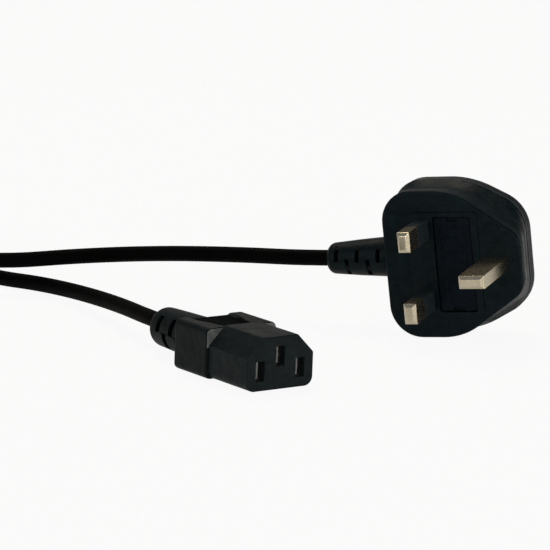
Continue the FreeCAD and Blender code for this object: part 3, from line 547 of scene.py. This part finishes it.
def recess_depth(across, back):
    """How deep the thumb recess is: steep at its front, its floor rising to the back of the grip."""
    half = RECESS_NARROW + RECESS_WIDER * soft_step(back, RECESS_FRONT, 34)
    inside = 1 - soft_step(abs(across - RECESS_MIDDLE), half - 0.5, half + 0.5)
    rise = RECESS_RISE * max(0.0, back - RECESS_FLOOR) / (RECESS_BACK - RECESS_FLOOR)
    return inside * soft_step(back, RECESS_FRONT, RECESS_FLOOR) * (RECESS_DEPTH - rise)


def grip_ring(back, inset):
    wide, low, top = GRIP_HALF - inset, GRIP_BOTTOM + inset, GRIP_TOP - inset
    rounding = max(GRIP_ROUNDING - inset, 0.4)
    corners = [(-wide, low, rounding), (wide, low, rounding), (wide, top, rounding), (-wide, top, rounding)]
    return [(p.x * MM, (p.y - (recess_depth(p.x, back) if p.y > 5 else 0)) * MM, -back * MM)
            for p in rounded_outline(corners, 14, 44)]


def finish_grip(grip):
    """The front shoulder above the nose's side gets a painted highlight, and the recess's floor gets painted
    shade in a darker matt finish.
    """
    grip.data.materials.append(GRIP_FRONT_PAINTED_HIGHLIGHT)
    grip.data.materials.append(GRIP_RECESS_PAINTED_SHADE)
    own = CONNECTOR.inverted()
    forward = CONNECTOR.to_3x3() @ Vector((0, 0, 1))
    for face in grip.data.polygons:
        here = (own @ face.center) / MM
        # Forward faces above the nose get the painted highlight
        if face.normal.dot(forward) > 0.9 and here.y > PAINTED_HIGHLIGHT_ABOVE:
            face.material_index = 1
        # Faces inside the thumb recess get the painted shade
        if 4.4 < here.y < GRIP_TOP - 0.2 and abs(here.x - RECESS_MIDDLE) < 6.9 and 21.1 < -here.z < 36.4:
            face.material_index = 2


def make_grip():
    stations = [(GRIP_FRONT_AT, inset) for inset in NOSE_BEDDING]
    for k in range(7):
        turn = math.radians(15 * k)
        stations.append((GRIP_FRONT_AT + GRIP_FRONT_ROUNDING * (1 - math.cos(turn)),
                         GRIP_FRONT_ROUNDING * (1 - math.sin(turn))))
    stations += [(20.9 + GRIP_STEP * k, 0) for k in range(GRIP_RINGS)] + NECK
    shell = bmesh.new()
    skin(shell, [grip_ring(back, inset) for back, inset in stations], close_first=True, close_last=True)
    close_caps(shell)
    grip = add_piece("connector_grip", finish_mesh(shell, "connector_grip", CONNECTOR, 55), "connector_pvc")
    finish_grip(grip)
    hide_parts("connector_overmould")


# Flex: one cord from the plug to the connector, with its put-away length in a tied coil. The sheath's ends
# and its exits from the boots are in metres, and the runs are steps from the exits in millimetres
FLEX_LENGTH, FLEX_DIAMETER, FLEX_RADIUS = 1.8, 0.005, 0.00251
PLUG_EXIT = Vector((-0.03344, 0.00976, 0.02072))
PLUG_SHEATH = Vector((-0.01401, 0.00976, 0.02242))
CONNECTOR_EXIT = Vector((-0.06687, -0.04191, 0.00834))
CONNECTOR_SHEATH = Vector((-0.04764, -0.05398, 0.00834))
STRAIGHT_OUT = 0.005
PLUG_RUN = [(-31.1, 2.3, -1.7), (-60.1, 4.3, -3.9), (-89.1, 4.5, -7.1), (-116.5, 0.6, -10.6),
            (-143.5, -2.4, -9.6)]
CONNECTOR_RUN = [(-25.1, 22.3, -1.34), (-49.3, 43.0, -3.74), (-70.6, 56.4, -5.34), (-87.8, 60.8, -5.8),
                 (-95.9, 65.5, -5.8), (-102.4, 75.5, -5.8), (-106.7, 87.9, -5.6)]

# Coil: a bundle of three by three turns, each at a radius and a height; the degrees of the first turn, and
# of the stretch of a turn over which the flex passes to the next place in the bundle
COIL = Vector((-0.204, 0.0362, 0))
OUTER, MIDDLE, INNER = 31.3, 26.5, 21.7
LOW, HALFWAY, HIGH = 2.9, 7.7, 12.5
TURNS = [(OUTER, HIGH), (MIDDLE, HIGH), (INNER, HIGH), (INNER, HALFWAY), (INNER, LOW), (MIDDLE, LOW),
         (MIDDLE, HALFWAY), (OUTER, HALFWAY), (OUTER, LOW)]
FIRST_TURN, CHANGE, TURN_POINTS = 235, 160, 20


def coil_points():
    """The turns of the coil, clockwise from the plug's side."""
    total = FIRST_TURN + 360 * (len(TURNS) - 1)
    count = round(total / 360 * TURN_POINTS)
    found = []
    for i in range(count + 1):
        travelled = total * i / count
        place = (travelled + 360 - FIRST_TURN) / 360
        turn = min(int(place), len(TURNS) - 1)
        following = min(turn + 1, len(TURNS) - 1)
        share = soft_step((place - turn) * 360, 360 - CHANGE, 360)
        radius, height = (a + (b - a) * share for a, b in zip(TURNS[turn], TURNS[following]))
        angle = math.radians(-90 - travelled)
        found.append(COIL + Vector((math.cos(angle) * radius, math.sin(angle) * radius, height)) * MM)
    return found


def make_flex():
    leave = PLUG_EXIT + (PLUG_EXIT - PLUG_SHEATH).normalized() * STRAIGHT_OUT
    arrive = CONNECTOR_EXIT + (CONNECTOR_EXIT - CONNECTOR_SHEATH).normalized() * STRAIGHT_OUT
    points = [PLUG_SHEATH, leave] + [PLUG_EXIT + Vector(step) * MM for step in PLUG_RUN] + coil_points()
    points += [CONNECTOR_EXIT + Vector(step) * MM for step in reversed(CONNECTOR_RUN)]
    points += [arrive, CONNECTOR_SHEATH]
    curve = bpy.data.curves.new("flex", "CURVE")
    curve.dimensions = "3D"
    spline = curve.splines.new("NURBS")
    spline.points.add(len(points) - 1)
    for point, place in zip(spline.points, points):
        point.co = (*place, 1)
    spline.order_u = 3
    spline.use_endpoint_u = True
    spline.resolution_u = 6
    curve.bevel_depth, curve.bevel_resolution, curve.use_fill_caps = FLEX_RADIUS, 8, True
    flex = add_piece("flex", curve, "flex_pvc")
    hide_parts("flex_plug_run", "flex_coil", "flex_connector_run")
    return flex


# Tie: half-sizes and rounding of its section round the bundle, outside and inside, and its half-width
TIE_OUTSIDE, TIE_INSIDE = (7.9, 7.7, 3.2), (7.1, 6.9, 2.6)
TIE_EDGE, TIE_HALF_WIDTH = 4.6, 4.9
TIE_PLACE = math.radians(205)


def make_tie():
    """A soft strap round the coil's bundle."""
    def section(across, high, rounding):
        corners = [(-across, -high, rounding), (across, -high, rounding), (across, high, rounding),
                   (-across, high, rounding)]
        return rounded_outline(corners, 8, 4)

    outward = Vector((math.cos(TIE_PLACE), math.sin(TIE_PLACE), 0))
    along = Vector((-outward.y, outward.x, 0))
    rings = []
    for offset, outline in ((-TIE_EDGE, section(*TIE_INSIDE)), (-TIE_HALF_WIDTH, section(*TIE_OUTSIDE)),
                            (TIE_HALF_WIDTH, section(*TIE_OUTSIDE)), (TIE_EDGE, section(*TIE_INSIDE))):
        rings.append([COIL + (outward * (MIDDLE + p.x) + along * offset + Vector((0, 0, HALFWAY + p.y))) * MM
                      for p in outline])
    rings.append(rings[0])
    shell = bmesh.new()
    skin(shell, rings)
    merge_ring(shell)
    tie = add_piece("coil_tie", finish_mesh(shell, "coil_tie"), "flex_pvc")
    round_edges(tie, 0.0002, 30)
    return tie


# Floor, lamps and backdrop: how much of the floor is plain white to the camera and in reflections, and the
# softboxes, each with its place and size in metres, its power in watts and its tint
FLOOR_WHITE, FLOOR_IN_REFLECTIONS = 0.92, 0.4
LAMP_TARGET = Vector((-0.02, 0, 0.01))
LAMPS = {
    "high_back": dict(place=(-0.34, 0.42, 1.05), size=(0.66, 0.5), power=4.8, tint=(1, 0.88, 0.72)),
    "right_front": dict(place=(0.8, -0.82, 0.3), size=(0.5, 0.4), power=3.9, tint=(1, 0.97, 0.92)),
    "low_right": dict(place=(1.0, -0.12, 0.1), size=(0.5, 0.16), power=1.5, tint=(1, 0.99, 0.97)),
    "left_front": dict(place=(-0.4, -1.05, 0.5), size=(0.7, 0.5), power=2.0, tint=(1, 0.98, 0.95)),
}


def make_floor():
    shell = bmesh.new()
    bmesh.ops.create_grid(shell, x_segments=2, y_segments=2, size=4)
    floor = add_piece("floor", finish_mesh(shell, "floor"), None, None)
    material, nodes, links = new_material("pale_floor")
    paint = nodes["Principled BSDF"]
    paint.inputs["Base Color"].default_value = (0.86, 0.86, 0.86, 1)
    paint.inputs["Roughness"].default_value = 0.9
    paint.inputs["Specular IOR Level"].default_value = 0.0
    path = nodes.new("ShaderNodeLightPath")
    seen = reckon(nodes, links, "MULTIPLY_ADD", path.outputs["Is Glossy Ray"], FLOOR_IN_REFLECTIONS,
                  path.outputs["Is Camera Ray"], clamp=True)
    seen = reckon(nodes, links, "ADD", seen, path.outputs["Is Transmission Ray"], clamp=True)
    seen = reckon(nodes, links, "MULTIPLY", seen, FLOOR_WHITE)
    mix = nodes.new("ShaderNodeMixShader")
    links.new(seen, mix.inputs["Fac"])
    links.new(paint.outputs["BSDF"], mix.inputs[1])
    links.new(nodes.new("ShaderNodeEmission").outputs["Emission"], mix.inputs[2])
    links.new(mix.outputs["Shader"], nodes["Material Output"].inputs["Surface"])
    floor.data.materials.append(material)


def add_lamp(name, place, size, power, tint):
    lamp = bpy.data.lights.new(name, "AREA")
    lamp.shape, lamp.size, lamp.size_y = "RECTANGLE", *size
    lamp.energy, lamp.color = power, tint
    item = bpy.data.objects.new(name, lamp)
    bpy.context.scene.collection.objects.link(item)
    item.location = place
    item.rotation_mode = "QUATERNION"
    item.rotation_quaternion = (LAMP_TARGET - Vector(place)).to_track_quat("-Z", "Y")


def light_up():
    """A pale backdrop near the horizon, dimmer above and to the right, and the softboxes."""
    world = bpy.data.worlds.new("backdrop")
    bpy.context.scene.world = world
    world.use_nodes = True
    nodes, links = world.node_tree.nodes, world.node_tree.links
    studio, white = nodes["Background"], nodes.new("ShaderNodeBackground")
    white.inputs["Color"].default_value = (1, 1, 1, 1)
    way = nodes.new("ShaderNodeSeparateXYZ")
    links.new(nodes.new("ShaderNodeTexCoord").outputs["Generated"], way.inputs[0])
    sky = two_tone(nodes, links, way.outputs["Z"], (0.66, 0.62, 0.55), (0.19, 0.21, 0.225), 0.0, 0.4)
    links.new(sky, studio.inputs["Color"])
    links.new(spread(nodes, links, way.outputs["X"], 1.0, 0.4, 0.0, 0.8), studio.inputs["Strength"])
    mix = nodes.new("ShaderNodeMixShader")
    links.new(nodes.new("ShaderNodeLightPath").outputs["Is Camera Ray"], mix.inputs["Fac"])
    links.new(studio.outputs["Background"], mix.inputs[1])
    links.new(white.outputs["Background"], mix.inputs[2])
    links.new(mix.outputs["Shader"], nodes["World Output"].inputs["Surface"])
    for name, lamp in LAMPS.items():
        add_lamp(name, **lamp)
    bpy.context.scene.view_settings.view_transform = "Standard"


# Nodes whose own shape is kept with slightly rounded edges, in metres, and the pieces on the flex's far end
EDGES = {"live_pin": 0.00018, "neutral_pin": 0.00018, "earth_pin": 0.00018, "live_sleeve": 0.00012,
         "neutral_sleeve": 0.00012, "pin_bridge": 0.00022, "fuse_carrier": 0.0001, "connector_insert": 0.00055}

set_up_camera()
flex = make_flex()
tie = make_tie()
make_plug_body()
make_face_ring()
cutting = slit_cutter()
make_boot("plug_boot", PLUG_BOOT, cutting)
make_boot("connector_boot", CONNECTOR_BOOT, cutting)
make_grip()
for node, edge in EDGES.items():
    dress(node, edge, "carrier" if node == "fuse_carrier" else "lead")
for name, node in frame["nodes"].items():
    if not node.hide_render:
        node.data.materials.clear()
        node.data.materials.append(FINISHES[SLOT_OF[name]])
make_floor()
light_up()
